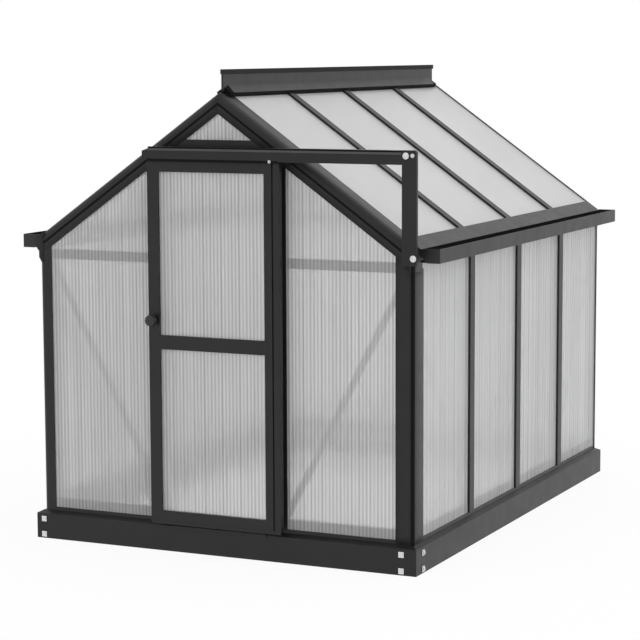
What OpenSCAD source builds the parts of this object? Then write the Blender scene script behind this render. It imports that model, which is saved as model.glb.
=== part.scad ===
// Ridge-roofed greenhouse: framed twin-wall panels on a folded base,
// with one panelled door that slides along a rail across the front gable.
// Front is -Y, up is +Z. The origin is on the ground, midway between the
// door knob's tip and the back of the base.

/* [Base] */
// Width of the base across the front
base_w = 1800; // [1600:10:2100]
// Length of the base from front to back
base_l = 2440; // [2200:10:2900]
// Height of the base's upright face
base_h = 110; // [60:5:160]
// Rise of the sloping ledge on top of the base
ledge_rise = 12; // [4:1:25]
// Thickness of the folded sheet
sheet_t = 3; // [2:0.5:5]
// Width of the lip that rests on the ground
ground_lip = 40; // [25:1:50]

/* [Walls] */
// Set-back of the side walls from the base's face
side_inset = 22; // [14:1:34]
// Set-back of the gable walls from the base's face
gable_inset = 26; // [16:1:60]
// Depth of every frame member, from its outer to its inner face
frame_d = 36; // [34:1:50]
// Width of a plain corner post
post_w = 59; // [50:1:80]
// Width of the front post under the open end of the door's rail
wide_post_w = 80; // [70:1:110]
// Depth of the side legs of the front posts and rafters
front_leg = 103; // [70:1:120]
// Depth of the side lips of the back posts and rafters
back_leg = 16; // [14:1:30]
// Radius of the rounded nose on posts and rafters
nose_r = 24; // [10:1:30]
// Radius of the corner of the wide post and of the back posts and rafters
corner_r = 5; // [2:1:8]
// Height of the sills
sill_h = 16; // [14:1:24]
// Height of the sills' inner flanges above their outer edges
sill_flange = 40; // [10:1:60]
// Height of the side walls at the underside of the eave beams
wall_z = 1269; // [1150:1:1450]
// Number of bars on each side wall and each roof slope
bar_count = 3; // [3:2:3]
// Distance between bars, as a share of the walls' length
bar_share = 0.2448; // [0.23:0.0001:0.25]
// Set-back of the row of bars towards the back
bar_shift = 34; // [0:1:45]
// Width of a bar's outer cap
bar_w = 52; // [40:1:60]
// Stand-out of a bar's cap from the panels
bar_proud = 6; // [4:1:16]
// Width of a bar's inner flange
bar_flange_w = 50; // [40:1:56]
// Width of a bar's web
bar_web_w = 6; // [4:1:10]
// Clear width of the doorway
doorway_w = 510; // [440:5:560]
// Sideways shift of the doorway's middle
doorway_x = 0; // [-30:1:30]
// Width of the studs beside the doorway
stud_w = 54; // [44:1:64]
// Drop of the bars across the gable walls below the side walls' top
tie_drop = 38; // [36:1:120]
// Height of the section of those bars
tie_h = 42; // [20:1:45]

/* [Roof] */
// Height of the eave beams' outer face
eave_face = 62; // [54:1:90]
// Pitch of the roof
roof_pitch = 35.2; // [32:0.1:38]
// Width of the gable rafters in the gable's plane
rafter_w = 72; // [64:1:85]
// Width of the band that the eave beam shows along the slope
eave_band = 50; // [45:1:75]
// Distance from the ridge line to the ridge beam's side, along the slope
ridge_side = 29; // [27:1:45]
// Stand-out of the ridge cap and of the eave bands from the panels
cap_proud = 18; // [16:1:24]
// Set-back of the ends of the ridge cap and of the eave bands from the gables
cap_inset = 86; // [40:1:95]
// Height of the small pane over the gable bar
gable_peak = 108; // [80:1:160]
// Height of the gable bar's section
gable_bar_h = 100; // [80:1:120]
// Width of the ridge crest's fin
crest_fin_w = 8; // [4:1:12]
// Width of the lip along the top of the fin
crest_lip_w = 14; // [12:1:26]
// Set-back of the crest's ends from the gables
crest_inset = 42; // [0:1:80]
// Rise of the ridge cap to the sides of the fin
crest_root = 8; // [4:1:14]
// Height of the crest above the roof's meeting line
crest_h = 93; // [70:1:120]
// Gap between the crest's ends and the rafters under them
crest_gap = 3; // [2:0.5:6]
// Thickness of the crest's lip
crest_lip_t = 19; // [4:1:24]

/* [Gutters] */
// Width of the gutters
gutter_w = 82; // [70:1:120]
// Height of the gutters
gutter_h = 58; // [40:1:66]
// Set-back of the gutters' ends from the gables
gutter_inset = 34; // [20:1:80]
// Width and height of the slope under a gutter's wall side
gutter_slope = 26; // [10:1:36]
// Drop of the gutters' rims below the eave beams' edge
gutter_drop = 9; // [4:1:20]
// Thickness of the end caps
cap_t = 3; // [2:0.5:6]

/* [Panels] */
// Thickness of the twin-wall panels
panel_t = 6; // [4:0.5:10]
// Thickness of the lip in front of a panel's edge
panel_out = 4; // [3:0.5:6]
// Depth that a panel's edge enters its slot
panel_bite = 8; // [6:1:11]
// Room for growth between a panel's edge and the bottom of its slot
growth_gap = 2; // [1:0.5:4]

/* [Braces] */
// Width of the flat braces
brace_w = 30; // [20:1:40]
// Thickness of the flat braces
brace_t = 4; // [3:0.5:6]
// Drop of the gable braces' upper ends below the side walls' top
gable_brace_drop = 70; // [60:5:200]
// Drop of the side braces' upper ends below the side walls' top
side_brace_drop = 160; // [140:5:300]
// Height of the braces' lower ends above the sills
brace_foot = 30; // [20:1:60]

/* [Door] */
// Width of the door
door_w = 616; // [600:2:640]
// Thickness of the door
door_t = 24; // [20:1:30]
// Height of the door's lower edge above the ground
door_z = 139; // [130:1:160]
// Gap between the door and the base's face
door_gap = 6; // [6:1:20]
// Width of the stile that holds the knob
knob_stile_w = 53; // [44:1:60]
// Width of the stile on the other side
plain_stile_w = 71; // [60:1:80]
// Width of the inner strip of that stile, beside its groove
stile_strip_w = 35; // [25:1:40]
// Height of the door's top rail
top_rail_h = 44; // [35:1:60]
// Height of the door's mid rail
mid_rail_h = 59; // [35:1:70]
// Height of the mid rail's underside
mid_rail_z = 874; // [700:1:1000]
// Height of the door's bottom rail
bottom_rail_h = 42; // [30:1:60]
// Height of the knob's centre
knob_z = 997; // [960:1:1100]
// Radius of the knob
knob_r = 25; // [20:1:32]
// Thickness of the knob's head
knob_t = 27; // [18:1:35]
// Radius of the knob's neck
knob_neck_r = 13; // [8:1:18]
// Length of the knob's neck
knob_neck_l = 18; // [12:1:25]

/* [Threshold] */
// Width of the threshold plate
threshold_w = 450; // [380:5:560]
// Drop of its front lip over the base's face
threshold_lip = 12; // [6:1:30]

/* [Door rail] */
// Depth of the rail from front to back
rail_d = 50; // [46:1:60]
// Rise of the rail's underside above the gable bar's
rail_lift = 16; // [10:1:30]
// Length of the bevel on the rail's free end
rail_bevel_l = 50; // [20:1:80]
// Drop of that bevel
rail_bevel_h = 18; // [8:1:26]
// Height of the rail's section
rail_h = 56; // [48:1:60]
// Thickness of the rail's walls
rail_wall = 4; // [3:0.5:5]
// Width of the slot under the rail
rail_slot_w = 24; // [22:1:28]
// Gap between the door's upper edge and the rail
rail_gap = 5; // [5:1:14]
// Reach of the rail beyond the closed door's outer edge
rail_overhang = 16; // [10:1:40]
// Width of the post that holds the rail's open end
rail_post_w = 64; // [50:1:70]
// Depth of that post from front to back
rail_post_d = 14; // [10:1:24]
// Radius of that post's upper corner
rail_post_r = 12; // [4:1:20]
// Reach of that post above the rail
rail_post_rise = 2; // [0:1:10]
// Reach of that post beyond the side wall
rail_post_reach = 40; // [15:1:50]
// Height of the spacers behind that post and the rail
spacer_h = 40; // [30:1:44]
// Thickness of the door's hanger plates
hanger_t = 8; // [6:1:9]
// Width of the hanger plates
hanger_w = 60; // [40:1:80]
// Radius of the hanger wheels
wheel_r = 16; // [10:1:17]
// Thickness of the hanger wheels, which bridge the rail's slot
wheel_t = 34; // [30:1:35]
// Running gap between the hanger wheels and the rail
wheel_gap = 0.5; // [0.3:0.1:2]
// Distance of the hangers from the door's edges
hanger_edge = 100; // [80:1:140]

/* [Hidden] */
$fn = 64;

// Reach of cutting shapes beyond what they cut
over = 20;
// Seat gap under the rafters
seat_gap = 0.1;
// Groove that parts the nose of a post or rafter from its inner strip
groove_w = 7;
groove_d = 8;
groove_at = nose_r + 11;
wide_groove_at = corner_r + 1;

base_x = base_w / 2;
base_y = base_l / 2;
wall_x = base_x - side_inset;
wall_y = base_y - gable_inset;
inner_x = wall_x - frame_d;
inner_y = wall_y - frame_d;
floor_z = base_h + ledge_rise;
glass_z = floor_z + sill_h;

panel_in = panel_out + panel_t;
slot_d = panel_bite + growth_gap;

slope = tan(roof_pitch);
ridge_z = wall_z + eave_face + slope * wall_x;
rafter_drop = rafter_w / cos(roof_pitch);
bite_rise = panel_bite / cos(roof_pitch);
eave_u = wall_x / cos(roof_pitch) - eave_band;
roof_run = eave_u - ridge_side;
cap_x = wall_x + cap_proud;
cap_rise = cap_proud / cos(roof_pitch);

knob_reach = door_gap + door_t + knob_neck_l + knob_t;
centre_y = knob_reach / 2;

tie_z = wall_z - tie_drop;
gable_top_z = ridge_z - rafter_drop - gable_peak;
gable_bar_z = gable_top_z - gable_bar_h;
rail_z = gable_bar_z + rail_lift;
door_top_z = rail_z - rail_gap;

stud_left_x = doorway_x - doorway_w / 2 - stud_w;
stud_right_x = doorway_x + doorway_w / 2;

door_back_y = -base_y - door_gap;
door_front_y = door_back_y - door_t;
door_mid_y = door_back_y - door_t / 2;
door_x = doorway_x - door_w / 2;
door_bay_x = door_x + knob_stile_w;
door_bay_w = door_w - knob_stile_w - plain_stile_w;

rail_back_y = door_mid_y + rail_d / 2;
rail_post_x = wall_x + rail_post_reach - rail_post_w;
rail_x = door_x - rail_overhang;
wheel_z = rail_z + rail_wall + wheel_gap + wheel_r;

// Places of the bars, and the two ends of each bay between them
run_start = -wall_y + front_leg;
run_end = wall_y - back_leg;
bar_pitch = bar_share * 2 * wall_y;
bar_ys = [for (i = [0 : bar_count - 1]) bar_shift + (i - (bar_count - 1) / 2) * bar_pitch];
bay_starts = concat([run_start], [for (y = bar_ys) y + bar_w / 2]);
bay_ends = concat([for (y = bar_ys) y - bar_w / 2], [run_end]);

gutter_l = 2 * (wall_y - gutter_inset);
gutter_top_z = ridge_z + cap_rise - slope * cap_x - gutter_drop;
gutter_z = gutter_top_z - gutter_h;

frame_colour = [0.12, 0.12, 0.125];
light_colour = [0.2, 0.2, 0.21];
panel_colour = [0.82, 0.85, 0.83, 0.5];

// Height of the roof's outer face above a place on the X axis
function roof_z(x) = ridge_z - slope * abs(x);
// Height of the gable rafters' lower edge
function under_z(x) = roof_z(x) - rafter_drop;
// Place in X and Z from a distance down the right slope and out of it
function on_slope(u, n) = [
    u * cos(roof_pitch) + n * sin(roof_pitch), ridge_z - u * sin(roof_pitch) + n * cos(roof_pitch)
];

// Moves the frame so that its origin is midway between front and back
module place() { translate([0, centre_y, 0]) children(); }

// Copies on both sides, or at both ends
module both_sides() { children(); mirror([1, 0, 0]) children(); }
module both_ends() { children(); mirror([0, 1, 0]) children(); }

// Frame of the right roof slope: X down the slope, Z out of the roof
module on_roof() { translate([0, 0, ridge_z]) rotate([0, roof_pitch, 0]) children(); }

// Upright slab from an outline in X and Z
module wall_slab(y, t, outline) {
    translate([0, y + t, 0]) rotate([90, 0, 0]) linear_extrude(t) polygon(outline);
}

// Bar along Y from an outline in X and Z
module long_bar(y, l, outline) { wall_slab(y, l, outline); }

// All the space below the gable rafters
module under_rafters() {
    wall_slab(-base_y, base_l, [
        [-wall_x, 0], [wall_x, 0], [wall_x, under_z(wall_x) - seat_gap],
        [0, under_z(0) - seat_gap], [-wall_x, under_z(wall_x) - seat_gap]
    ]);
}

// L-section of posts and rafters: X in from the outer edge, Y back from the front face,
// with a rounded nose and a panel's slot in each leg. A short lip leaves its panel
// to lie on the leg behind it.
module edge_section(w, lip, nose) {
    leg = max(lip, frame_d);
    difference() {
        union() {
            translate([nose, 0]) square([w - nose, frame_d]);
            translate([0, nose]) square([frame_d, leg - nose]);
            intersection() {
                square(nose);
                translate([nose, nose]) circle(nose);
            }
        }
        translate([w - slot_d, panel_out]) square([slot_d + over, panel_t]);
        translate([panel_out, lip - slot_d]) square([panel_t, leg + over]);
        translate([-over, lip]) square([panel_in + over, leg]);
    }
}

// Groove in the front face of such a section
module face_groove(x) { translate([x, -over]) square([groove_w, groove_d + over]); }

// Section of a glazing bar: X across, Y in from the wall's outer face
module bar_section() {
    translate([-bar_w / 2, -bar_proud]) square([bar_w, bar_proud + panel_out]);
    translate([-bar_web_w / 2, 0]) square([bar_web_w, frame_d]);
    translate([-bar_flange_w / 2, panel_in]) square([bar_flange_w, frame_d - panel_in]);
}

// Folded base rail: X out to the face, Y up, with its ledge ending at the wall
module base_section(ledge, top_w) {
    polygon([
        [0, 0], [0, base_h], [-ledge, floor_z], [-top_w, floor_z], [-top_w, floor_z - sheet_t],
        [-ledge, floor_z - sheet_t], [-sheet_t, base_h - sheet_t], [-sheet_t, sheet_t],
        [-ground_lip, sheet_t], [-ground_lip, 0]
    ]);
}

// Plan of one end rail's mitres, which follow the ledges round the corner
module mitre_plan() {
    polygon([
        [-base_x, -base_y], [base_x, -base_y], [wall_x, -wall_y], [inner_x, -inner_y],
        [-inner_x, -inner_y], [-wall_x, -wall_y]
    ]);
}

module base_end_rails() {
    color(frame_colour) place() both_ends() intersection() {
        translate([-base_x, -base_y, 0]) rotate([90, 0, 90]) linear_extrude(base_w)
            mirror([1, 0]) base_section(gable_inset, gable_inset + frame_d);
        linear_extrude(floor_z) mitre_plan();
    }
}

module base_side_rails() {
    color(frame_colour) place() both_sides() difference() {
        translate([base_x, base_y, 0]) rotate([90, 0, 0]) linear_extrude(base_l)
            base_section(side_inset, side_inset + frame_d);
        both_ends() translate([0, 0, -over]) linear_extrude(floor_z + 2 * over) mitre_plan();
    }
}

// Sill across a gable, slotted for each panel, with a flange behind it
module end_sill(left, right, slots, flanges) {
    difference() {
        translate([left, -wall_y, floor_z]) cube([right - left, frame_d, sill_h]);
        for (s = slots) translate([s[0], -wall_y + panel_out, glass_z - slot_d])
            cube([s[1] - s[0], panel_t, slot_d + over]);
    }
    for (f = flanges) translate([f[0], -wall_y + panel_in, floor_z])
        cube([f[1] - f[0], frame_d - panel_in, sill_h + sill_flange]);
}

module front_sill() {
    left = -wall_x + post_w;
    right = wall_x - wide_post_w;
    stud_end_x = stud_right_x + stud_w;
    color(frame_colour) place() end_sill(left, right,
        [[left - over, stud_left_x + slot_d], [stud_end_x - slot_d, right + over]],
        [[left, stud_left_x], [stud_end_x, right]]);
}

module back_sill() {
    left = -wall_x + post_w;
    color(frame_colour) place() mirror([0, 1, 0]) end_sill(left, -left, [[left - over, over - left]], [
        [left, stud_left_x], [stud_left_x + stud_w, stud_right_x], [stud_right_x + stud_w, -left]
    ]);
}

// Side sills end behind the back posts' lips, and their flanges stand in each bay
module side_sills() {
    flange_starts = concat([run_start], [for (y = bar_ys) y + bar_flange_w / 2]);
    flange_ends = concat([for (y = bar_ys) y - bar_flange_w / 2], [inner_y]);
    color(frame_colour) place() both_sides() {
        difference() {
            translate([inner_x, run_start, floor_z]) cube([frame_d, inner_y - run_start, sill_h]);
            translate([wall_x - panel_in, -base_y, glass_z - slot_d])
                cube([panel_t, base_l, slot_d + over]);
        }
        for (i = [0 : bar_count]) translate([inner_x, flange_starts[i], floor_z])
            cube([frame_d - panel_in, flange_ends[i] - flange_starts[i], sill_h + sill_flange]);
    }
}

// Corner post at the front left, cut off under the rafter
module corner_post(w, lip, nose, groove_x) {
    intersection() {
        translate([-wall_x, -wall_y, floor_z]) linear_extrude(ridge_z) difference() {
            edge_section(w, lip, nose);
            if (groove_x > 0) face_groove(groove_x);
        }
        under_rafters();
    }
}

module front_left_post() { color(frame_colour) place() corner_post(post_w, front_leg, nose_r, 0); }
module front_right_post() {
    color(frame_colour) place() mirror([1, 0, 0])
        corner_post(wide_post_w, front_leg, corner_r, wide_groove_at);
}
module back_posts() {
    color(frame_colour) place() mirror([0, 1, 0]) both_sides() corner_post(post_w, back_leg, corner_r, 0);
}

// Stud in a gable wall, slotted on its left, on its right or on both sides
module stud(x, slot_left, slot_right) {
    intersection() {
        difference() {
            translate([x, -wall_y, glass_z]) cube([stud_w, frame_d, ridge_z - glass_z]);
            if (slot_left) translate([x - over, -wall_y + panel_out, 0])
                cube([slot_d + over, panel_t, ridge_z]);
            if (slot_right) translate([x + stud_w - slot_d, -wall_y + panel_out, 0])
                cube([slot_d + over, panel_t, ridge_z]);
        }
        under_rafters();
    }
}

module door_studs() {
    color(frame_colour) place() {
        stud(stud_left_x, true, false);
        stud(stud_right_x, false, true);
    }
}

module back_studs() {
    color(frame_colour) place() mirror([0, 1, 0]) {
        stud(stud_left_x, true, true);
        stud(stud_right_x, true, true);
    }
}

module wall_bars() {
    for (y = bar_ys) translate([wall_x, y, glass_z]) linear_extrude(wall_z - glass_z)
        rotate(90) bar_section();
}
module left_wall_bars() { color(light_colour) place() mirror([1, 0, 0]) wall_bars(); }
module right_wall_bars() { color(light_colour) place() wall_bars(); }

// Bars across a gable wall, inside the panels, in each bay between members
module ties(bays) {
    for (b = bays) translate([b[0], -wall_y + panel_in, tie_z])
        cube([b[1] - b[0], frame_d - panel_in, tie_h]);
}

module front_ties() {
    color(frame_colour) place() ties([
        [-wall_x + post_w, stud_left_x], [stud_right_x + stud_w, wall_x - wide_post_w]
    ]);
}
module back_ties() {
    color(frame_colour) place() mirror([0, 1, 0]) ties([
        [-wall_x + post_w, stud_left_x], [stud_left_x + stud_w, stud_right_x],
        [stud_right_x + stud_w, wall_x - post_w]
    ]);
}

// Lintel over the doorway, between the studs and up to the rafters
module gable_bar() {
    left = stud_left_x + stud_w;
    color(frame_colour) place() intersection() {
        difference() {
            translate([left, -wall_y, gable_bar_z]) cube([doorway_w, frame_d, gable_bar_h]);
            translate([left, -wall_y + panel_out, gable_top_z - slot_d])
                cube([doorway_w, panel_t, slot_d + over]);
        }
        under_rafters();
    }
}

// Flat brace between two points of a plane, as an outline
function brace_outline(a, b) =
    let (d = (b - a) / norm(b - a), n = [-d[1], d[0]] * brace_w / 2) [a + n, b + n, b - n, a - n];

// Pair of braces on the inside of a gable wall, trimmed clear of the side braces
module gable_braces() {
    foot = glass_z + brace_foot;
    top = wall_z - gable_brace_drop;
    side = inner_x - brace_t;
    intersection() {
        union() {
            wall_slab(-inner_y, brace_t,
                brace_outline([-side + brace_w / 2, top], [stud_left_x + stud_w / 2, foot]));
            wall_slab(-inner_y, brace_t,
                brace_outline([side - brace_w / 2, top], [stud_right_x + stud_w / 2, foot]));
        }
        translate([-side, -base_y, 0]) cube([2 * side, base_l, ridge_z]);
    }
}
module front_braces() { color(frame_colour) place() gable_braces(); }
module back_braces() { color(frame_colour) place() mirror([0, 1, 0]) gable_braces(); }

// Braces in the end bays of the right wall, trimmed at the posts
module side_braces() {
    foot = glass_z + brace_foot;
    top = wall_z - side_brace_drop;
    intersection() {
        translate([inner_x - brace_t, 0, 0]) rotate([90, 0, 90]) linear_extrude(brace_t) {
            polygon(brace_outline([-inner_y + brace_w / 3, top], [bar_ys[0], foot]));
            polygon(brace_outline([inner_y - brace_w / 3, top], [bar_ys[bar_count - 1], foot]));
        }
        translate([0, -inner_y, 0]) cube([wall_x, 2 * inner_y, ridge_z]);
    }
}
module left_braces() { color(frame_colour) place() mirror([1, 0, 0]) side_braces(); }
module right_braces() { color(frame_colour) place() side_braces(); }

// Front rafter of the right slope, cut upright at the ridge and at the wall,
// with room at its foot for the corner of a wall panel
module rafter(lip, nose) {
    difference() {
        intersection() {
            translate([0, -wall_y, 0]) on_roof() translate([-rafter_w, 0, 0]) rotate([0, 90, 0])
                linear_extrude(2 * wall_x) difference() {
                    edge_section(rafter_w, lip, nose);
                    face_groove(groove_at);
                }
            translate([0, -base_y, 0]) cube([wall_x, base_l, ridge_z]);
        }
        translate([wall_x - panel_in, -wall_y + lip - slot_d, 0])
            cube([panel_t, front_leg, wall_z + slot_d]);
    }
}
module rafter_pair() {
    rafter(front_leg, nose_r);
    mirror([0, 1, 0]) rafter(back_leg, corner_r);
}
module left_rafters() { color(frame_colour) place() mirror([1, 0, 0]) rafter_pair(); }
module right_rafters() { color(frame_colour) place() rafter_pair(); }

// Slot for a roof panel, from one place down the slope to another
module roof_slot(u0, u1) {
    on_roof() translate([u0, -base_y, -panel_in]) cube([u1 - u0, base_l, panel_t]);
}

// Beam under the ridge, the cap that covers it and the crest that stands on the cap
module ridge() {
    side = on_slope(ridge_side, 0);
    keel = on_slope(ridge_side, -frame_d);
    edge = on_slope(ridge_side, cap_proud);
    fin = crest_fin_w / 2;
    lip = crest_lip_w / 2;
    root_z = ridge_z + cap_rise + crest_root;
    top = ridge_z + crest_h;
    color(light_colour) place() {
        difference() {
            long_bar(run_start, inner_y - run_start, [
                [0, ridge_z], side, keel, [-keel[0], keel[1]], [-side[0], side[1]]
            ]);
            both_sides() roof_slot(ridge_side - slot_d, ridge_side + over);
        }
        long_bar(-wall_y + cap_inset, 2 * (wall_y - cap_inset), [
            [0, ridge_z], side, edge, [fin, root_z], [-fin, root_z], [-edge[0], edge[1]], [-side[0], side[1]]
        ]);
        long_bar(-wall_y + crest_inset, 2 * (wall_y - crest_inset), [
            [fin, ridge_z + crest_gap], [fin, top - crest_lip_t], [lip, top - crest_lip_t], [lip, top],
            [-lip, top], [-lip, top - crest_lip_t], [-fin, top - crest_lip_t], [-fin, ridge_z + crest_gap]
        ]);
    }
}

// Beam along the top of a side wall, and the band that covers it from the roof to the gutter
module eave_beams() {
    band = on_slope(eave_u, 0);
    heel = on_slope(eave_u, -frame_d);
    brow = on_slope(eave_u, cap_proud);
    color(light_colour) place() both_sides() {
        difference() {
            long_bar(run_start, inner_y - run_start, [
                band, [wall_x, roof_z(wall_x)], [wall_x, wall_z], [inner_x, wall_z], heel
            ]);
            roof_slot(eave_u - over, eave_u + slot_d);
            translate([wall_x - panel_in, -base_y, wall_z - over]) cube([panel_t, base_l, slot_d + over]);
        }
        long_bar(-wall_y + cap_inset, 2 * (wall_y - cap_inset), [
            band, brow, [cap_x, roof_z(cap_x) + cap_rise], [cap_x, wall_z], [wall_x, wall_z],
            [wall_x, roof_z(wall_x)]
        ]);
    }
}

module roof_bars() {
    for (y = bar_ys) translate([0, y, 0]) on_roof() translate([ridge_side, 0, 0])
        rotate([0, 90, 0]) linear_extrude(roof_run) rotate(90) mirror([0, 1]) bar_section();
}
module left_roof_bars() { color(light_colour) place() mirror([1, 0, 0]) roof_bars(); }
module right_roof_bars() { color(light_colour) place() roof_bars(); }

// Outline of a gutter, with a slope under its wall side
function gutter_outline() = [
    [cap_x, gutter_top_z], [cap_x, gutter_z + gutter_slope], [cap_x + gutter_slope, gutter_z],
    [cap_x + gutter_w, gutter_z], [cap_x + gutter_w, gutter_top_z]
];

// Open gutter along the outside of an eave beam
module gutters() {
    bend = sheet_t * tan(22.5);
    color(light_colour) place() both_sides() long_bar(-gutter_l / 2, gutter_l, concat(gutter_outline(), [
        [cap_x + gutter_w - sheet_t, gutter_top_z], [cap_x + gutter_w - sheet_t, gutter_z + sheet_t],
        [cap_x + gutter_slope + bend, gutter_z + sheet_t],
        [cap_x + sheet_t, gutter_z + gutter_slope + bend], [cap_x + sheet_t, gutter_top_z]
    ]));
}

module gutter_end_caps() {
    color(frame_colour) place() both_sides() both_ends()
        long_bar(-gutter_l / 2 - cap_t, cap_t, gutter_outline());
}

// Panel in a gable wall between two members, up to the rafters or to a stated height
module gable_panel(left, right) {
    rise = bite_rise;
    low = glass_z - panel_bite;
    corners = left < 0 && right > 0 ? [[0, under_z(0) + rise]] : [];
    wall_slab(-wall_y + panel_out, panel_t, concat(
        [[left, low], [right, low], [right, under_z(right) + rise]], corners,
        [[left, under_z(left) + rise]]
    ));
}

module front_panels() {
    color(panel_colour) place() {
        gable_panel(-wall_x + post_w - panel_bite, stud_left_x + panel_bite);
        gable_panel(stud_right_x + stud_w - panel_bite, wall_x - wide_post_w + panel_bite);
    }
}

module front_gable_panel() {
    low = gable_bar_z + gable_bar_h - panel_bite;
    half = (under_z(0) + bite_rise - low) / slope;
    color(panel_colour) place()
        wall_slab(-wall_y + panel_out, panel_t, [[-half, low], [half, low], [0, under_z(0) + bite_rise]]);
}

module back_panels() {
    color(panel_colour) place() mirror([0, 1, 0]) {
        gable_panel(-wall_x + post_w - panel_bite, stud_left_x + panel_bite);
        gable_panel(stud_left_x + stud_w - panel_bite, stud_right_x + panel_bite);
        gable_panel(stud_right_x + stud_w - panel_bite, wall_x - post_w + panel_bite);
    }
}

// Panels of the right wall, one in each bay
module wall_panels() {
    for (i = [0 : bar_count]) translate([wall_x - panel_in, bay_starts[i] - panel_bite, glass_z - panel_bite])
        cube([panel_t, bay_ends[i] - bay_starts[i] + 2 * panel_bite, wall_z - glass_z + 2 * panel_bite]);
}
module left_wall_panels() { color(panel_colour) place() mirror([1, 0, 0]) wall_panels(); }
module right_wall_panels() { color(panel_colour) place() wall_panels(); }

// Panels of the right slope, one in each bay
module roof_panels() {
    on_roof() for (i = [0 : bar_count])
        translate([ridge_side - panel_bite, bay_starts[i] - panel_bite, -panel_in])
            cube([roof_run + 2 * panel_bite, bay_ends[i] - bay_starts[i] + 2 * panel_bite, panel_t]);
}
module left_roof_panels() { color(panel_colour) place() mirror([1, 0, 0]) roof_panels(); }
module right_roof_panels() { color(panel_colour) place() roof_panels(); }

// Plate over the base's ledge in the doorway, with a lip down its face
module threshold() {
    color(frame_colour) place() translate([doorway_x - threshold_w / 2, 0, 0])
        rotate([90, 0, 90]) linear_extrude(threshold_w) polygon([
            [-base_y, base_h], [-wall_y, floor_z], [-wall_y, floor_z + sheet_t],
            [-base_y - sheet_t, base_h + sheet_t], [-base_y - sheet_t, base_h - threshold_lip],
            [-base_y, base_h - threshold_lip]
        ]);
}

// Channel that the door hangs in, open underneath and bevelled at its free end
module door_rail() {
    bore_d = rail_d - 2 * rail_wall;
    bore_h = rail_h - 2 * rail_wall;
    rail_l = rail_post_x - rail_x;
    color(frame_colour) place() translate([rail_x, rail_back_y - rail_d, rail_z]) difference() {
        translate([0, rail_d, 0]) rotate([90, 0, 0]) linear_extrude(rail_d) polygon([
            [0, 0], [rail_l, 0], [rail_l, rail_h], [rail_bevel_l, rail_h], [0, rail_h - rail_bevel_h]
        ]);
        difference() {
            translate([-over, rail_wall, rail_wall]) cube([base_w, bore_d, bore_h]);
            translate([-over, 0, rail_h - rail_bevel_h - rail_wall])
                cube([rail_bevel_l + over, rail_d, rail_h]);
        }
        translate([-over, (rail_d - rail_slot_w) / 2, -over]) cube([base_w, rail_slot_w, over + 2 * rail_wall]);
    }
}

// Flat post that stands over the front corner and takes the rail's open end
module rail_post() {
    post_h = rail_z + rail_h + rail_post_rise - wall_z;
    color(frame_colour) place() translate([rail_post_x, rail_back_y - rail_d + rail_post_d, wall_z])
        rotate([90, 0, 0]) linear_extrude(rail_post_d) difference() {
            square([rail_post_w, post_h]);
            translate([rail_post_w - rail_post_r, post_h - rail_post_r]) difference() {
                square(rail_post_r + over);
                circle(rail_post_r);
            }
        }
}

// Spacers that carry the rail and its post off the gable's face
module rail_spacers() {
    post_back_y = rail_back_y - rail_d + rail_post_d;
    color(frame_colour) place() {
        for (x = [-doorway_w / 4, doorway_w / 4])
            translate([x - spacer_h / 2, rail_back_y, rail_z + rail_wall])
                cube([spacer_h, -wall_y - rail_back_y, spacer_h]);
        translate([rail_post_x, post_back_y, wall_z])
            cube([wall_x - corner_r - rail_post_x, -wall_y - post_back_y, spacer_h]);
    }
}

// Slot for the door's panels, in the middle of its thickness
module door_slot(x, w, z, h) {
    translate([x, door_mid_y - panel_t / 2, z]) cube([w, panel_t, h]);
}

module door_knob_stile() {
    color(frame_colour) place() difference() {
        translate([door_x, door_front_y, door_z]) cube([knob_stile_w, door_t, door_top_z - door_z]);
        door_slot(door_bay_x - slot_d, slot_d + over, door_z - over, door_top_z);
    }
}

module door_plain_stile() {
    x = door_bay_x + door_bay_w;
    color(frame_colour) place() difference() {
        translate([x, door_front_y, door_z]) cube([plain_stile_w, door_t, door_top_z - door_z]);
        translate([x + stile_strip_w, door_front_y - over, 0]) cube([groove_w, groove_d + over, ridge_z]);
        door_slot(x - over, slot_d + over, door_z - over, door_top_z);
    }
}

// Rails between the stiles, slotted above and below where a panel enters
module door_cross_rails() {
    color(frame_colour) place() difference() {
        for (r = [[door_z, bottom_rail_h], [mid_rail_z, mid_rail_h], [door_top_z - top_rail_h, top_rail_h]])
            translate([door_bay_x, door_front_y, r[0]]) cube([door_bay_w, door_t, r[1]]);
        door_slot(door_bay_x - over, door_w, door_z + bottom_rail_h - slot_d, slot_d + over);
        door_slot(door_bay_x - over, door_w, mid_rail_z - over, slot_d + over);
        door_slot(door_bay_x - over, door_w, mid_rail_z + mid_rail_h - slot_d, slot_d + over);
        door_slot(door_bay_x - over, door_w, door_top_z - top_rail_h - over, slot_d + over);
    }
}

module door_panels() {
    lows = [door_z + bottom_rail_h, mid_rail_z + mid_rail_h];
    highs = [mid_rail_z, door_top_z - top_rail_h];
    color(panel_colour) place() for (i = [0, 1])
        door_slot(door_bay_x - panel_bite, door_bay_w + 2 * panel_bite,
            lows[i] - panel_bite, highs[i] - lows[i] + 2 * panel_bite);
}

module door_knob() {
    color(frame_colour) place() translate([door_x + knob_stile_w / 2, door_front_y, knob_z]) rotate([90, 0, 0]) {
        cylinder(r = knob_neck_r, h = knob_neck_l);
        translate([0, 0, knob_neck_l]) cylinder(r = knob_r, h = knob_t);
    }
}

// Plates and wheels that carry the door inside its rail
module door_hangers() {
    color(light_colour) place() for (x = [door_x + hanger_edge, door_x + door_w - hanger_edge])
        translate([x, door_mid_y, 0]) {
            translate([-hanger_w / 2, -hanger_t / 2, door_top_z])
                cube([hanger_w, hanger_t, wheel_z - door_top_z]);
            translate([0, wheel_t / 2, wheel_z]) rotate([90, 0, 0]) cylinder(r = wheel_r, h = wheel_t);
        }
}

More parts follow.
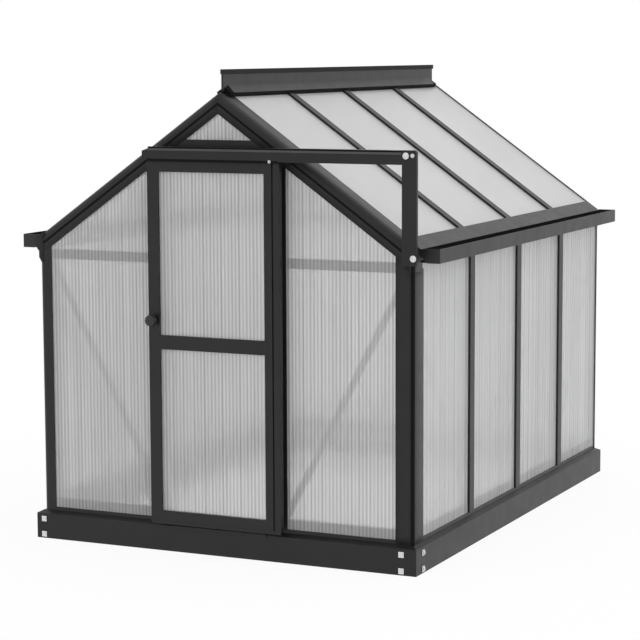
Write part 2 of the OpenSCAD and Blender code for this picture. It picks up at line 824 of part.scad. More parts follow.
base_end_rails();
base_side_rails();
front_sill();
back_sill();
side_sills();
front_left_post();
front_right_post();
back_posts();
door_studs();
back_studs();
left_wall_bars();
right_wall_bars();
front_ties();
back_ties();
gable_bar();
front_braces();
back_braces();
left_braces();
right_braces();
left_rafters();
right_rafters();
ridge();
eave_beams();
left_roof_bars();
right_roof_bars();
gutters();
gutter_end_caps();
front_panels();
front_gable_panel();
back_panels();
left_wall_panels();
right_wall_panels();
left_roof_panels();
right_roof_panels();
threshold();
door_rail();
rail_post();
rail_spacers();
door_knob_stile();
door_plain_stile();
door_cross_rails();
door_panels();
door_knob();
door_hangers();
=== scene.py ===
"""Looks of the twin-wall panel greenhouse: finishes, fasteners, knob, gaskets, strips of painted shade and
highlight, studio and camera.
"""
import math

import bmesh
import bpy
from mathutils import Matrix, Vector


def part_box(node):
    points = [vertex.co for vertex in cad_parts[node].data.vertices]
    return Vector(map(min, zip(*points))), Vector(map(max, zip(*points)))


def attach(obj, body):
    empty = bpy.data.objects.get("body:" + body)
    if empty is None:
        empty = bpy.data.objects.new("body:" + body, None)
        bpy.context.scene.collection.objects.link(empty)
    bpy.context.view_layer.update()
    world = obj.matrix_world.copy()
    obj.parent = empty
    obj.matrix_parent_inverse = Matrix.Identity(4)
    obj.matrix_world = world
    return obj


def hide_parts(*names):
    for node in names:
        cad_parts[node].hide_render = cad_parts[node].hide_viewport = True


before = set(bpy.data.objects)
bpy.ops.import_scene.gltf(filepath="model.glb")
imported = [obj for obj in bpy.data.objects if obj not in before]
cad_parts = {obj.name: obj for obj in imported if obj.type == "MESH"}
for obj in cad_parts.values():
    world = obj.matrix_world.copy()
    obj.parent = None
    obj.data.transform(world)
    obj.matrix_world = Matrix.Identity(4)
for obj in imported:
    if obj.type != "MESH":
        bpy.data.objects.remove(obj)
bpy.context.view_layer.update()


# Shader nodes

class Shading:
    """Short ways to add and link the nodes of a material or of the world."""

    def __init__(self, tree):
        self.nodes = tree.nodes
        self.link = tree.links.new

    def put(self, socket, value):
        """Links a socket to another one, or sets it to a fixed value."""
        if isinstance(value, bpy.types.NodeSocket):
            self.link(value, socket)
        else:
            socket.default_value = value

    def node(self, kind, inputs=None, **settings):
        """Outputs of a new node, with its inputs given by name or number."""
        node = self.nodes.new(kind)
        for key, value in settings.items():
            setattr(node, key, value)
        for key, value in (inputs or {}).items():
            self.put(node.inputs[key], value)
        return node.outputs

    def place(self):
        """Place on the piece, in its own coordinates."""
        return self.node("ShaderNodeTexCoord")["Object"]

    def axes(self, source):
        return self.node("ShaderNodeSeparateXYZ", {0: source})

    def noise(self, source, scale, detail):
        return self.node("ShaderNodeTexNoise", {"Vector": source, "Scale": scale, "Detail": detail})["Fac"]

    def ramp(self, source, low, high, start=0.0, end=1.0):
        """Colour that runs from low to high between two values of the source."""
        node = self.nodes.new("ShaderNodeValToRGB")
        for element, position, colour in zip(node.color_ramp.elements, (start, end), (low, high)):
            element.position = position
            element.color = (*colour, 1)
        self.link(source, node.inputs["Fac"])
        return node.outputs["Color"]

    def spread(self, source, low, high, start=0.3, end=0.7):
        """Number that runs from low to high between two values of the source."""
        return self.node("ShaderNodeMapRange", {"Value": source, "From Min": start, "From Max": end,
                                                "To Min": low, "To Max": high})["Result"]

    def calc(self, operation, a, b=0.0):
        return self.node("ShaderNodeMath", {0: a, 1: b}, operation=operation)[0]

    def vector_calc(self, operation, *sources):
        return self.node("ShaderNodeVectorMath", dict(enumerate(sources)), operation=operation)

    def mix(self, factor, first, second):
        """Colour between a linked one and a fixed one."""
        inputs = {"Factor": factor, 6: first, 7: (*second, 1)}
        return self.node("ShaderNodeMix", inputs, data_type="RGBA")[2]

    def bump(self, height, strength, depth, normal=None):
        inputs = {"Height": height, "Strength": strength, "Distance": depth}
        if normal is not None:
            inputs["Normal"] = normal
        return self.node("ShaderNodeBump", inputs)["Normal"]

    def seen_rays(self):
        """1 for rays of the camera and in gloss and glass, and 0 for the others."""
        path = self.node("ShaderNodeLightPath")
        seen = self.calc("MAXIMUM", path["Is Camera Ray"], path["Is Glossy Ray"])
        return self.calc("MAXIMUM", seen, path["Is Transmission Ray"])


class Finish(Shading):
    """A material made from one Principled shader."""

    def __init__(self, name):
        self.material = bpy.data.materials.new(name)
        self.material.use_nodes = True
        super().__init__(self.material.node_tree)
        self.shader = self.nodes["Principled BSDF"]

    def done(self, inputs):
        for key, value in inputs.items():
            self.put(self.shader.inputs[key], value)
        return self.material


# Materials

def coated_metal(name, dark, light, edge_wear_and_light, rough, edge=0.0025):
    """Powder coat: a little uneven in colour and gloss, with fine peel and paler edges: rubbed wear, which
    on the bars is set high as painted light on their shaded flanks.
    """
    coat = Finish(name)
    place = coat.place()
    colour = coat.ramp(coat.noise(place, scale=5.0, detail=6.0), dark, light, start=0.32, end=0.68)
    rounded = coat.node("ShaderNodeBevel", {"Radius": edge}, samples=4)["Normal"]
    flat = coat.node("ShaderNodeNewGeometry")["True Normal"]
    alike = coat.vector_calc("DOT_PRODUCT", rounded, flat)["Value"]
    bent = coat.spread(alike, 1.0, 0.0, start=0.8, end=0.995)
    patchy = coat.spread(coat.noise(place, scale=60.0, detail=4.0), 0.15, 0.9)
    edge_wear_and_light_mask = coat.calc("MULTIPLY", bent, patchy)
    peel = coat.noise(place, scale=1100.0, detail=2.0)
    return coat.done({
        "Base Color": coat.mix(edge_wear_and_light_mask, colour, (edge_wear_and_light, edge_wear_and_light, edge_wear_and_light)),
        "Roughness": coat.spread(coat.noise(place, scale=14.0, detail=5.0), rough - 0.03, rough + 0.03),
        "Normal": coat.bump(peel, strength=0.06, depth=0.0006, normal=rounded),
        "Specular IOR Level": 0.34,
    })


def twin_wall(name, axis, pitch, tint_and_light, rib_and_light, clear, rough, through=0.42, bend=0.0):
    """Ribbed twin-wall sheet: ribs are counted along one axis of the part, and dust dulls it a little; the
    pale and rib colours are given face by face as painted light.

    The ribs bend what is seen through them sideways, so that distant edges blur into bands.
    """
    sheet = Finish(name)
    place = sheet.place()
    across = sheet.axes(place)[axis]
    wave = sheet.calc("COSINE", sheet.calc("MULTIPLY", across, 2 * math.pi / pitch))
    line = sheet.node("ShaderNodeCombineXYZ", {"X": across})[0]
    uneven = sheet.spread(sheet.noise(line, scale=0.8 / pitch, detail=2.0), 0.3, 1.0)
    ribs = sheet.calc("MULTIPLY", sheet.spread(wave, 0.0, 1.0, start=-0.6, end=1.0), uneven)
    cloud = sheet.noise(place, scale=2.2, detail=4.0)
    dusty = [level * 0.96 for level in tint_and_light]
    pale = sheet.ramp(cloud, dusty, tint_and_light, start=0.35, end=0.65)

    surface = sheet.node("ShaderNodeNewGeometry")
    either_face = sheet.node("ShaderNodeCombineXYZ", {"X": across, "Y": surface["Backfacing"]})[0]
    wander = sheet.noise(either_face, scale=2.7 / pitch, detail=1.0)
    tilt = sheet.spread(wander, -bend, bend, start=0.25, end=0.75)
    lean = sheet.node("ShaderNodeCombineXYZ", {axis: tilt})[0]
    tilted = sheet.vector_calc("ADD", surface["Normal"], lean)["Vector"]
    return sheet.done({
        "Base Color": sheet.mix(ribs, pale, rib_and_light),
        "Roughness": sheet.spread(cloud, rough - 0.03, rough + 0.03),
        "Normal": sheet.vector_calc("NORMALIZE", tilted)["Vector"],
        "Alpha": 1.0 - clear,
        "IOR": 1.25,
        "Transmission Weight": through,
    })


def zinc(name, dark, light, rough):
    """Plated steel with a faint grain and cloudy gloss."""
    plate = Finish(name)
    place = plate.place()
    cloud = plate.noise(place, scale=70.0, detail=5.0)
    return plate.done({
        "Base Color": plate.ramp(cloud, dark, light),
        "Roughness": plate.spread(cloud, rough - 0.09, rough + 0.09),
        "Metallic": 1.0,
        "Normal": plate.bump(plate.noise(place, scale=1500.0, detail=1.0), strength=0.05, depth=0.0004),
    })


def moulded(name, dark, light, rough, shine=0.5):
    """Moulded plastic or rubber with a fine grain."""
    skin = Finish(name)
    place = skin.place()
    cloud = skin.noise(place, scale=40.0, detail=4.0)
    return skin.done({
        "Base Color": skin.ramp(cloud, dark, light),
        "Roughness": skin.spread(cloud, rough - 0.05, rough + 0.08),
        "Specular IOR Level": shine,
        "Normal": skin.bump(skin.noise(place, scale=2200.0, detail=2.0), strength=0.2, depth=0.0003),
    })


COAT = {"dark": (0.0085, 0.0086, 0.0088), "light": (0.012, 0.0121, 0.0123)}
# Pale copy of the coat: a painted highlight along the rail's bead
HIGHLIGHT_COAT = {"dark": (0.055, 0.055, 0.056), "light": (0.072, 0.072, 0.073)}
FRAME = coated_metal("frame_coat", **COAT, edge_wear_and_light=0.04, rough=0.40)
ROUND = coated_metal("rounded_coat", **COAT, edge_wear_and_light=0.012, rough=0.40, edge=0.06)
# The bars' pale edge colour is painted light that lifts the shade on their front-facing flanks
BAR = coated_metal("bar_coat", **COAT, edge_wear_and_light=0.06, rough=0.40, edge=0.004)
# The rail bead's coat is pale as a painted highlight
BEAD_HIGHLIGHT = coated_metal("bead_painted_highlight", **HIGHLIGHT_COAT, edge_wear_and_light=0.09, rough=0.40)
BASE = coated_metal("base_coat", **COAT, edge_wear_and_light=0.04, rough=0.42, edge=0.003)
CAP = moulded("end_cap_plastic", (0.012, 0.012, 0.013), (0.02, 0.02, 0.021), rough=0.45, shine=0.42)
KNOB = moulded("knob_plastic", (0.010, 0.010, 0.011), (0.018, 0.018, 0.019), rough=0.38)
# Black rubber of the clips and gaskets, also the painted shade of the dark strips at the ridge cap, eaves
# and rail
RUBBER_AND_SHADE = moulded("rubber_and_painted_shade", (0.006, 0.006, 0.006), (0.01, 0.01, 0.01), rough=0.7, shine=0.06)
# Dark coat of the crest's trim: painted shade on the lip
CREST_SHADE_COAT = moulded("crest_shade_plastic", (0.016, 0.016, 0.016), (0.024, 0.024, 0.024), rough=0.6, shine=0.08)
ZINC = zinc("zinc_plate", (0.62, 0.63, 0.64), (0.84, 0.84, 0.83), rough=0.29)
# Shaded copy of the zinc plate: its dark colour is painted shade on the door's hangers
SHADED_ZINC = zinc("shaded_zinc", (0.07, 0.07, 0.072), (0.12, 0.12, 0.12), rough=0.5)
# The pale and rib colours differ from face to face to set the brightness of each face: painted light
GABLE = twin_wall("gable_twin_wall", "X", pitch=0.0167, tint_and_light=(0.985, 0.99, 0.987), rib_and_light=(0.545, 0.55, 0.547),
                  clear=0.18, rough=0.14, through=0.54, bend=0.7)
SIDE = twin_wall("side_twin_wall", "Y", pitch=0.0334, tint_and_light=(0.80, 0.807, 0.803), rib_and_light=(0.67, 0.677, 0.673),
                 clear=0.14, rough=0.20, through=0.46, bend=0.7)
ROOF = twin_wall("roof_twin_wall", "Y", pitch=0.0334, tint_and_light=(0.805, 0.81, 0.807), rib_and_light=(0.752, 0.757, 0.754),
                 clear=0.16, rough=0.34)

# Finishes of the CAD pieces: those not named here have the frame's coat
FINISHED = (
    (GABLE, ("front_panels", "front_gable_panel", "back_panels", "door_panels")),
    (SIDE, ("left_wall_panels", "right_wall_panels")),
    (ROOF, ("left_roof_panels", "right_roof_panels")),
    (BASE, ("base_end_rails", "base_side_rails")),
    (BAR, ("left_wall_bars", "right_wall_bars", "left_roof_bars", "right_roof_bars")),
    (ROUND, ("front_right_post", "left_rafters", "right_rafters")),
    (CAP, ("gutter_end_caps",)),
    (KNOB, ("door_knob",)),
    (SHADED_ZINC, ("door_hangers",)),
)
looks = {name: mat for mat, names in FINISHED for name in names}
for name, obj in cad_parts.items():
    mat = looks.get(name, FRAME)
    if not obj.material_slots:
        obj.data.materials.append(mat)
    for slot in obj.material_slots:
        slot.material = mat


# Ways to make pieces

SHARP_ANGLE = math.radians(35)


def finish_piece(name, bm, mat, body):
    """A mesh piece with its finish, riding on a body."""
    mesh = bpy.data.meshes.new(name)
    bm.to_mesh(mesh)
    bm.free()
    mesh.set_sharp_from_angle(angle=SHARP_ANGLE)
    obj = bpy.data.objects.new(name, mesh)
    bpy.context.scene.collection.objects.link(obj)
    mesh.materials.append(mat)
    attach(obj, body)
    return obj


def facing(at, out):
    """Matrix that sets local Z along out, at a place."""
    return Matrix.Translation(at) @ Vector(out).to_track_quat("Z", "Y").to_matrix().to_4x4()


def close_rings(bm, rings):
    """Faces between rings of points that follow each other, and over both ends."""
    for low, high in zip(rings, rings[1:]):
        for i in range(len(low)):
            j = (i + 1) % len(low)
            bm.faces.new((low[i], low[j], high[j], high[i]))
    bm.faces.new(rings[-1])
    bm.faces.new(list(reversed(rings[0])))


def turned(bm, profile, spot, sides, grips=0, grip_deep=0.0, gripped=()):
    """Closed form about local Z from radii and heights, with finger grips on the rings named."""
    rings = []
    for k, (radius, height) in enumerate(profile):
        ring = []
        for i in range(sides):
            turn = 2 * math.pi * i / sides
            r = radius - (grip_deep * (0.5 - 0.5 * math.cos(grips * turn)) if k in gripped else 0.0)
            ring.append(bm.verts.new(spot @ Vector((r * math.cos(turn), r * math.sin(turn), height))))
        rings.append(ring)
    close_rings(bm, rings)


def prism(bm, near, far):
    """Closed prism between two like outlines."""
    close_rings(bm, [[bm.verts.new(point) for point in outline] for outline in (near, far)])
    bmesh.ops.recalc_face_normals(bm, faces=bm.faces)


def strip(bm, outline, start, end, side=1):
    """Strip along Y from an outline in X and Z; side -1 mirrors it to the left."""
    prism(bm, *([(side * x, y, z) for x, z in outline] for y in (start, end)))


def cross_strip(bm, outline, start, end):
    """Strip along X from an outline in Y and Z."""
    prism(bm, *([(x, y, z) for y, z in outline] for x in (start, end)))


def upright(bm, outline, start, end):
    """Strip along Z from an outline in X and Y."""
    prism(bm, *([(x, y, z) for x, y in outline] for z in (start, end)))


# Places of the CAD pieces that others are fitted to

base_low, base_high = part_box("base_end_rails")
post_low, post_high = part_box("rail_post")
rail_low, rail_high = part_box("door_rail")
knob_low, knob_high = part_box("door_knob")
ridge_low, ridge_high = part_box("ridge")
eave_low, eave_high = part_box("eave_beams")
gutter_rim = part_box("gutters")[1].z
rafter_low, rafter_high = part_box("right_rafters")
post_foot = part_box("front_right_post")[0].z
stile_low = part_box("door_knob_stile")[0]
door_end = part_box("door_plain_stile")[1].x

mid_y = (base_low.y + base_high.y) / 2
cap_start, cap_end = eave_low.y, 2 * mid_y - eave_low.y
wall, post_x = eave_high.x, rafter_high.x


# Bolts

FRONT, BACK = (0, -1, 0), (0, 1, 0)
LEFT, RIGHT = (-1, 0, 0), (1, 0, 0)
# Share of the washer's half width, or of its width for the head, and height over the face
WASHER = ((0.97, 0.0), (1.0, 0.0005), (1.0, 0.0018), (0.94, 0.0024))
HEAD = ((0.36, 0.0024), (0.36, 0.0066), (0.3168, 0.0078), (0.13, 0.0078), (0.13, 0.004))
WASHER_SIDES, HEAD_SIDES = 32, 6


def bolt(bm, at, out, size, square):
    """Round washer or square plate with a hexagon head, seated on a face."""
    spot = facing(at, out)
    reach, sides, turn = size / 2, WASHER_SIDES, 0.0
    if square:
        reach, sides, turn = reach * math.sqrt(2), 4, math.pi / 4
    washer = [(share * reach, height) for share, height in WASHER]
    turned(bm, washer, spot @ Matrix.Rotation(turn, 4, "Z"), sides)
    turned(bm, [(share * size, height) for share, height in HEAD], spot, HEAD_SIDES)


def bolts(name, places, body, square=False):
    bm = bmesh.new()
    for at, out, size in places:
        bolt(bm, Vector(at), out, size, square)
    return finish_piece(name, bm, ZINC, body)


# Square bolts through the base: pairs on the end faces, and on the sides at their front ends
BASE_BOLT, BASE_BOLT_HEIGHTS = 0.024, (0.018, 0.086)
LEFT_INSET, RIGHT_INSET, SIDE_INSET = 0.036, 0.066, 0.075
places = []
for z in BASE_BOLT_HEIGHTS:
    for y, out in ((base_low.y, FRONT), (base_high.y, BACK)):
        places.append(((base_low.x + LEFT_INSET, y, z), out, BASE_BOLT))
        places.append(((base_high.x - RIGHT_INSET, y, z), out, BASE_BOLT))
    for x, out in ((base_low.x, LEFT), (base_high.x, RIGHT)):
        places.append(((x, base_low.y + SIDE_INSET, z), out, BASE_BOLT))
bolts("base_bolts", places, "frame", True)

# Bolts of the post that holds the rail, and one in the rail over the door's edge
POST_BOLT, SMALL_BOLT, RAIL_BOLT, SHADE_STRIP_PROUD = 0.027, 0.017, 0.014, 0.001
TOP_BOLT_IN, TOP_BOLT_DROP, SMALL_BOLT_IN, SMALL_BOLT_DROP = 0.017, 0.022, 0.046, 0.021
FOOT_BOLT_IN, FOOT_BOLT_UP, RAIL_BOLT_X, RAIL_BOLT_UP = 0.049, 0.030, 0.271, 0.002
places = [((post_low.x + TOP_BOLT_IN, post_low.y, post_high.z - TOP_BOLT_DROP), FRONT, POST_BOLT),
          ((post_low.x + SMALL_BOLT_IN, post_low.y, post_high.z - SMALL_BOLT_DROP), FRONT, SMALL_BOLT),
          ((post_low.x + FOOT_BOLT_IN, post_low.y, post_low.z + FOOT_BOLT_UP), FRONT, POST_BOLT),
          ((RAIL_BOLT_X, rail_low.y - SHADE_STRIP_PROUD, rail_low.z + RAIL_BOLT_UP), FRONT, RAIL_BOLT)]
bolts("rail_bolts", places, "frame")


# Ridge, roof and eaves

# Dark trim clipped over the lip of the ridge crest, as painted shade on the lip
LIP_HALF, LIP_DEEP, SHADE_TRIM_T, SHADE_TRIM_BEVEL, SHADE_TRIM_GAP = 0.007, 0.019, 0.0012, 0.6, 0.0001
top, skirt = ridge_high.z, ridge_high.z - LIP_DEEP
half = ((LIP_HALF, top + SHADE_TRIM_GAP), (LIP_HALF, skirt), (LIP_HALF + SHADE_TRIM_T, skirt),
        (LIP_HALF + SHADE_TRIM_T, top + SHADE_TRIM_BEVEL * SHADE_TRIM_T), (LIP_HALF + (1 - SHADE_TRIM_BEVEL) * SHADE_TRIM_T, top + SHADE_TRIM_T))
bm = bmesh.new()
strip(bm, (*half, *((-x, z) for x, z in reversed(half))), ridge_low.y, ridge_high.y)
finish_piece("crest_shade_trim", bm, CREST_SHADE_COAT, "frame")

# Sizes of the CAD roof: its pitch, the crest's height, and the ridge cap's reach and stand-out
PITCH = math.radians(35.2)
CREST_H, RIDGE_SIDE, CAP_PROUD = 0.093, 0.029, 0.018
ridge_z = ridge_high.z - CREST_H
down = Vector((math.cos(PITCH), -math.sin(PITCH)))
outward = Vector((math.sin(PITCH), math.cos(PITCH)))


def on_slope(along, proud):
    """Place on the right-hand slope: distance down it from the ridge, and height square to it."""
    return Vector((0.0, ridge_z)) + along * down + proud * outward


def roof_z(x):
    return ridge_z - x * math.tan(PITCH)


# Dark strips under the edges of the ridge cap, as the painted shadow of the cap's edges: dark lines over
# the panels
SHADE_STRIP_T, SHADE_STRIP_TUCK, SHADE_STRIP_FOOT = 0.0016, 0.0006, 0.003
cap_edge = on_slope(RIDGE_SIDE, CAP_PROUD)
high = cap_edge - SHADE_STRIP_TUCK * outward
low = cap_edge - (CAP_PROUD + SHADE_STRIP_FOOT) * outward
bm = bmesh.new()
for side in (1, -1):
    strip(bm, (low, high, high + SHADE_STRIP_T * down, low + SHADE_STRIP_T * down), cap_start, cap_end, side)
finish_piece("ridge_shadow_strips", bm, RUBBER_AND_SHADE, "frame")

# Drip edges that carry the eave bands on over the gutters
KEY_PROUD, DRIP, DRIP_T = 0.0015, 0.015, 0.002
front = rafter_low.y - KEY_PROUD
eave_edge = on_slope((wall - CAP_PROUD * math.sin(PITCH)) / math.cos(PITCH), CAP_PROUD)
drip_edge = eave_edge + DRIP * down
bm = bmesh.new()
for side, start in ((1, front), (-1, cap_start)):
    strip(bm, (eave_edge, drip_edge, drip_edge - DRIP_T * outward, eave_edge - DRIP_T * outward),
          start, cap_end, side)
finish_piece("eave_drips", bm, FRAME, "frame")

# Keys that close the corners of post, rafter and eave at the front; the left one is drawn in to its post
KEY_IN, KEY_LOW, KEY_HIGH, LAP = 0.010, 1.236, 1.284, 0.002
RIGHT_FLARE, LEFT_FLARE, LEFT_DRAW, DRAW_SLOPE = 0.004, 0.022, 0.020, 0.6
key_in, key_out, drawn_z = post_x - 2 * KEY_IN, post_x + KEY_PROUD, KEY_LOW - LEFT_DRAW
right_foot = ((key_in, KEY_LOW),)
left_foot = ((key_in, drawn_z), (key_out - DRAW_SLOPE * LEFT_DRAW, drawn_z))
bm = bmesh.new()
for side, flare, foot in ((1, RIGHT_FLARE, right_foot), (-1, LEFT_FLARE, left_foot)):
    strip(bm, (*foot, (key_out, KEY_LOW), (key_out, KEY_HIGH - flare), (wall, KEY_HIGH),
               (wall, roof_z(wall)), (key_in, roof_z(key_in))), front, cap_start + LAP, side)
finish_piece("eave_corner_keys", bm, ROUND, "frame")

# Cover that carries the right eave band on to the post of the rail
band_u = (ridge_z + CAP_PROUD * math.cos(PITCH) - eave_high.z) / math.sin(PITCH)
bm = bmesh.new()
strip(bm, (on_slope(band_u, 0.0), on_slope(band_u, CAP_PROUD), eave_edge, (wall, roof_z(wall))),
      front, cap_start + LAP)
finish_piece("eave_end_cover", bm, FRAME, "frame")

# Dark strips hooked over the gutters' inner rims, up to the drip edges: painted shade in the gap between
# eave band and gutter
EAVE_SHADE_UP, EAVE_SHADE_DEEP, RIM_T = 0.005, 0.03, 0.003
bm = bmesh.new()
for side in (1, -1):
    strip(bm, ((wall, gutter_rim), (wall, gutter_rim + EAVE_SHADE_UP), (wall + SHADE_STRIP_T, gutter_rim + EAVE_SHADE_UP),
               (wall + SHADE_STRIP_T, gutter_rim + SHADE_STRIP_T), (wall + RIM_T + SHADE_STRIP_T, gutter_rim + SHADE_STRIP_T),
               (wall + RIM_T + SHADE_STRIP_T, gutter_rim - EAVE_SHADE_DEEP), (wall + RIM_T, gutter_rim - EAVE_SHADE_DEEP),
               (wall + RIM_T, gutter_rim)), cap_start, cap_end, side)
finish_piece("eave_shade_strips", bm, RUBBER_AND_SHADE, "frame")

# Clips over the ends of the ridge cap
CLIP_L, CLIP_T = 0.026, 0.001
clip_side = on_slope(RIDGE_SIDE + CLIP_T, CAP_PROUD + CLIP_T)
clip_foot = on_slope(RIDGE_SIDE + CLIP_T, 0.0)
clip_top = ridge_z + (CAP_PROUD + CLIP_T) / math.cos(PITCH)
bm = bmesh.new()
for start, end in ((cap_start - CLIP_L, cap_start + LAP), (cap_end - LAP, cap_end + CLIP_L)):
    strip(bm, (clip_foot, clip_side, (0.0, clip_top), (-clip_side.x, clip_side.y),
               (-clip_foot.x, clip_foot.y), (0.0, ridge_z)), start, end)
finish_piece("ridge_end_clips", bm, RUBBER_AND_SHADE, "frame")

# Gaskets in the grooves of the rafters and round the corner of the right-hand front post
GASKET_HIGH, GASKET_LOW, GASKET_PROUD, GASKET_IN = 0.0335, 0.0435, 0.0008, 0.003
POST_GASKET_W, POST_GASKET_DEEP, POST_GASKET_T, POST_GASKET_BEVEL = 0.0125, 0.010, 0.004, 0.003
POST_GASKET_DROP = 0.014
high_drop, low_drop = GASKET_HIGH / math.cos(PITCH), GASKET_LOW / math.cos(PITCH)
foot_x = post_x - KEY_IN
outline = ((0.0, ridge_z - high_drop), (foot_x, roof_z(foot_x) - high_drop),
           (foot_x, roof_z(foot_x) - low_drop), (0.0, ridge_z - low_drop))
bm = bmesh.new()
for side in (1, -1):
    strip(bm, outline, rafter_low.y - GASKET_PROUD, rafter_low.y + GASKET_IN, side)
    strip(bm, outline, rafter_high.y - GASKET_IN, rafter_high.y + GASKET_PROUD, side)
x, y = key_out + GASKET_PROUD, front - GASKET_PROUD
upright(bm, ((x - POST_GASKET_W, y), (x - POST_GASKET_BEVEL, y), (x, y + POST_GASKET_BEVEL),
             (x, y + POST_GASKET_DEEP), (x - POST_GASKET_T, y + POST_GASKET_DEEP),
             (x - POST_GASKET_W, y + POST_GASKET_T)),
        post_foot, KEY_HIGH - POST_GASKET_DROP)
finish_piece("groove_gaskets", bm, RUBBER_AND_SHADE, "frame")


# Door and its rail

RAIL_BEVEL, RAIL_SUNK = 0.4, 0.001


def rail_strip(name, mat, low, high, proud, start, end):
    """Bevelled strip along the front of the rail, between two heights."""
    y, bevel = rail_low.y, RAIL_BEVEL * proud
    bm = bmesh.new()
    outline = ((y + RAIL_SUNK, low), (y - proud + bevel, low), (y - proud, low + bevel),
               (y - proud, high - bevel), (y - proud + bevel, high), (y + RAIL_SUNK, high))
    cross_strip(bm, outline, start, end)
    finish_piece(name, bm, mat, "frame")


# A dark strip on the rail's top edge as painted shade, a pale bead below that as a painted highlight, and a
# dark strip over the door as the painted shadow under the rail
BEAD_PROUD, START_INSET, END_INSET, UNDER_SHADE_INSET = 0.002, 0.03, 0.001, 0.008
TOP_SHADE_DROP, TOP_SHADE_UP, BEAD_DROP, BEAD_H = 0.0065, 0.0005, 0.016, 0.0093
UNDER_SHADE_DROP, UNDER_SHADE_UP = 0.005, 0.0055
rail_start, rail_end = rail_low.x + START_INSET, rail_high.x - END_INSET
bead_z = rail_high.z - BEAD_DROP
rail_strip("rail_top_shade_strip", RUBBER_AND_SHADE, rail_high.z - TOP_SHADE_DROP, rail_high.z + TOP_SHADE_UP, SHADE_STRIP_PROUD,
           rail_start, rail_end)
rail_strip("rail_highlight_bead", BEAD_HIGHLIGHT, bead_z, bead_z + BEAD_H, BEAD_PROUD, rail_start, rail_end)
rail_strip("rail_shadow_strip", RUBBER_AND_SHADE, rail_low.z - UNDER_SHADE_DROP, rail_low.z + UNDER_SHADE_UP, SHADE_STRIP_PROUD,
           stile_low.x + UNDER_SHADE_INSET, door_end)

# Sweep that closes the gap under the door, level with its front face
SWEEP_T, SWEEP_DROP, SWEEP_UP, SWEEP_BEVEL, SWEEP_INSET = 0.003, 0.015, 0.0005, 0.0008, 0.001
y, upper, lower = stile_low.y, stile_low.z + SWEEP_UP, stile_low.z - SWEEP_DROP
bm = bmesh.new()
cross_strip(bm, ((y, upper), (y + SWEEP_T, upper), (y + SWEEP_T, lower), (y + SWEEP_BEVEL, lower),
                 (y, lower + SWEEP_BEVEL)), stile_low.x + SWEEP_INSET, door_end - SWEEP_INSET)
finish_piece("door_sweep", bm, FRAME, "door")

# Turned knob with finger grips round its head, from radii and heights over its seat
KNOB_SIDES, GRIPS, GRIP_DEEP = 96, 12, 0.0016
knob_r = (knob_high.x - knob_low.x) / 2
knob_l = knob_high.y - knob_low.y
neck = ((0.013, 0.0), (0.0125, 0.006), (0.0122, 0.014), (0.015, 0.018))
rim = ((knob_r - 0.004, 0.019), (knob_r - 0.001, 0.0215), (knob_r, 0.0255), (knob_r, 0.036),
       (knob_r - 0.001, 0.0405), (knob_r - 0.0035, 0.0435))
face = ((knob_r - 0.008, knob_l - 0.0002), (0.010, knob_l), (0.0085, knob_l - 0.0015))
knob_seat = Vector(((knob_low.x + knob_high.x) / 2, knob_high.y, (knob_low.z + knob_high.z) / 2))
bm = bmesh.new()
turned(bm, (*neck, *rim, *face), facing(knob_seat, FRONT), KNOB_SIDES,
       GRIPS, GRIP_DEEP, range(len(neck), len(neck) + len(rim)))
knob = finish_piece("turned_knob", bm, KNOB, "door")
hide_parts("door_knob")


# Studio

scene = bpy.context.scene
scene.view_settings.view_transform = "Standard"

# Even white light, a little softer on the object than the white that the camera sees
SOFT, WHITE = 0.97, 1.0
world = bpy.data.worlds.new("studio")
scene.world = world
world.use_nodes = True
world.node_tree.nodes.clear()
sky = Shading(world.node_tree)
soft, white = (sky.node("ShaderNodeBackground", {"Color": (1, 1, 1, 1), "Strength": strength})[0]
               for strength in (SOFT, WHITE))
either = sky.node("ShaderNodeMixShader", {0: sky.seen_rays(), 1: soft, 2: white})[0]
sky.node("ShaderNodeOutputWorld", {"Surface": either})

# Floor that keeps the object's shadow near it, and turns wholly white further off
NEAR, FAR, NEAR_WHITE = 1.2, 4.0, 0.92
ground = Finish("pale_floor")
place = ground.place()
cloud = ground.noise(place, scale=0.6, detail=2.0)
floor_mat = ground.done({
    "Base Color": ground.ramp(cloud, (0.86, 0.86, 0.86), (0.9, 0.9, 0.9)),
    "Roughness": 0.9,
})
away = ground.vector_calc("LENGTH", place)["Value"]
plain = ground.spread(away, NEAR_WHITE, 1.0, start=NEAR, end=FAR)
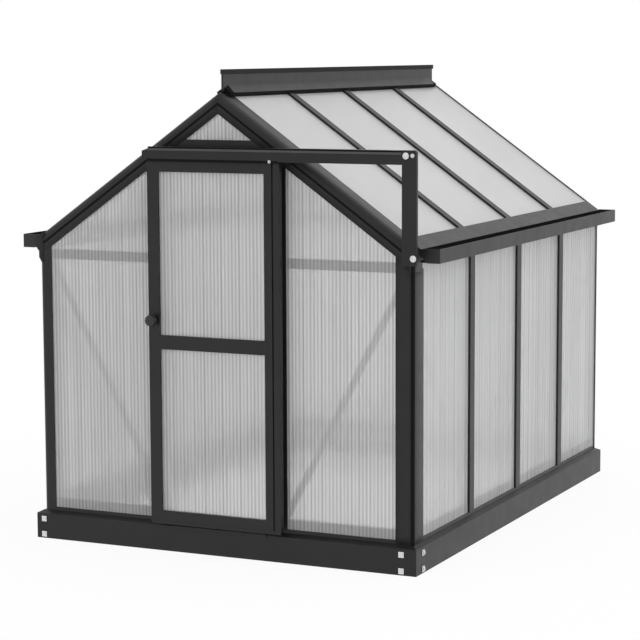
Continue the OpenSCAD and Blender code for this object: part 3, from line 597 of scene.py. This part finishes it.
# Under the roof it stays in the shade of the panels
SHADE, SHADE_START, SHADE_END = 0.3, 0.95, 0.99
axes = ground.axes(place)
across = ground.calc("DIVIDE", ground.calc("ABSOLUTE", axes["X"]), base_high.x)
from_middle = ground.calc("ABSOLUTE", ground.calc("SUBTRACT", axes["Y"], mid_y))
lengthways = ground.calc("DIVIDE", from_middle, base_high.y - mid_y)
inside = ground.calc("MAXIMUM", across, lengthways)
plain = ground.calc("MULTIPLY", plain, ground.spread(inside, SHADE, 1.0, start=SHADE_START, end=SHADE_END))
glow = ground.node("ShaderNodeEmission", {"Strength": WHITE})[0]
both = ground.node("ShaderNodeMixShader", {0: ground.calc("MULTIPLY", ground.seen_rays(), plain),
                                           1: ground.shader.outputs[0], 2: glow})[0]
ground.link(both, ground.nodes["Material Output"].inputs["Surface"])

FLOOR_HALF, FLOOR_CELLS, FLOOR_DROP = 60.0, 4, 0.0005
bm = bmesh.new()
bmesh.ops.create_grid(bm, x_segments=FLOOR_CELLS, y_segments=FLOOR_CELLS, size=FLOOR_HALF)
mesh = bpy.data.meshes.new("studio_floor")
bm.to_mesh(mesh)
bm.free()
floor = bpy.data.objects.new("studio_floor", mesh)
mesh.materials.append(floor_mat)
scene.collection.objects.link(floor)
floor.location.z = -FLOOR_DROP

LAMP_TARGET = Vector((0, 0, 1.0))


def lamp(name, at, size, watts):
    """Round lamp that points at the middle of the greenhouse."""
    data = bpy.data.lights.new(name, "AREA")
    data.shape = "DISK"
    data.size = size
    data.energy = watts
    obj = bpy.data.objects.new(name, data)
    obj.location = at
    obj.rotation_euler = (LAMP_TARGET - Vector(at)).to_track_quat("-Z", "Y").to_euler()
    scene.collection.objects.link(obj)


lamp("side_light", (9.0, 1.5, 4.0), size=5.0, watts=110)
lamp("top_light", (1.5, 2.5, 8.5), size=6.0, watts=70)

# Camera at the photograph's viewing angle
FOCAL_PX, PHOTO_PX, SENSOR, CLIP_END = 2172.0, 640.0, 36.0, 200.0
CAMERA_AT, CAMERA_TURN, CAMERA_TILT, CAMERA_ROLL = (4.189, -9.1475, 2.126), 25.0, 90.0 - 7.11, -0.23
camera_data = bpy.data.cameras.new("photo_camera")
camera_data.sensor_width = SENSOR
camera_data.lens = SENSOR * FOCAL_PX / PHOTO_PX
camera_data.clip_end = CLIP_END
camera = bpy.data.objects.new("photo_camera", camera_data)
aim = Matrix.Translation(CAMERA_AT)
for angle, axis in ((CAMERA_TURN, "Z"), (CAMERA_TILT, "X"), (CAMERA_ROLL, "Z")):
    aim = aim @ Matrix.Rotation(math.radians(angle), 4, axis)
camera.matrix_world = aim
scene.collection.objects.link(camera)
scene.camera = camera
